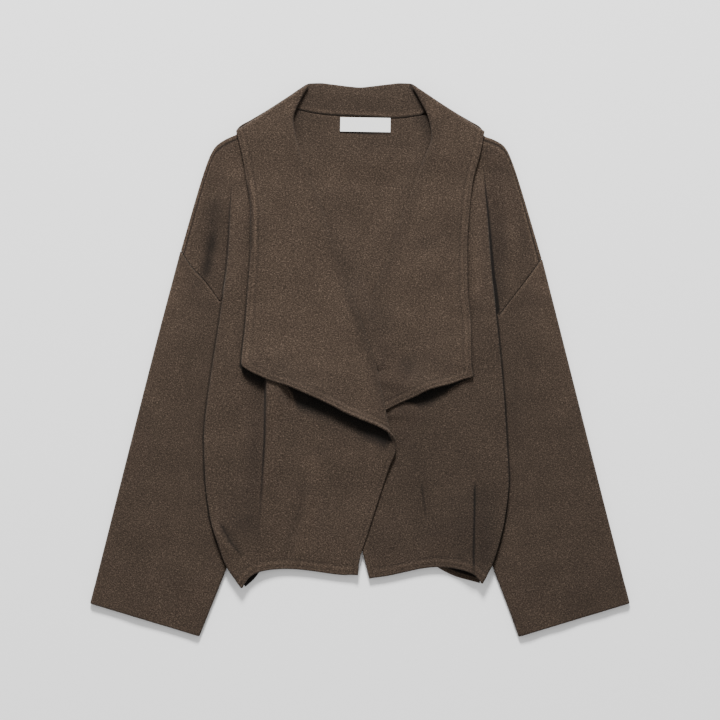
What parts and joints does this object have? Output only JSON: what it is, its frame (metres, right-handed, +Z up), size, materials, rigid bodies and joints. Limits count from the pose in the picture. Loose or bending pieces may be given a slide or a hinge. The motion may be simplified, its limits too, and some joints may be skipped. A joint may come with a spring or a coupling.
{
  "type": "shawl collar cardigan",
  "caption": "Open-front knitted cardigan with a wide turned-back shawl collar, drop shoulders and wide sleeves, laid out flat.",
  "frame": {"origin": "centre of the bounding box in plan, on the surface that the garment lies on", "axes": "+Z up off the surface, +Y from the hem to the collar, +X from the wearer's right sleeve to the left one"},
  "size_m": [0.6704, 0.6882, 0.0207],
  "materials": {
    "heather_knit": "fine brushed double knit in heathered taupe brown, matte",
    "woven_label": "smooth white woven tape, bare"
  },
  "bodies": {
    "root": {"back": "heather_knit", "front_right": "heather_knit", "front_left": "heather_knit", "collar": "heather_knit", "sleeve_right": "heather_knit", "sleeve_left": "heather_knit", "label": "woven_label"}
  },
  "joints": []
}
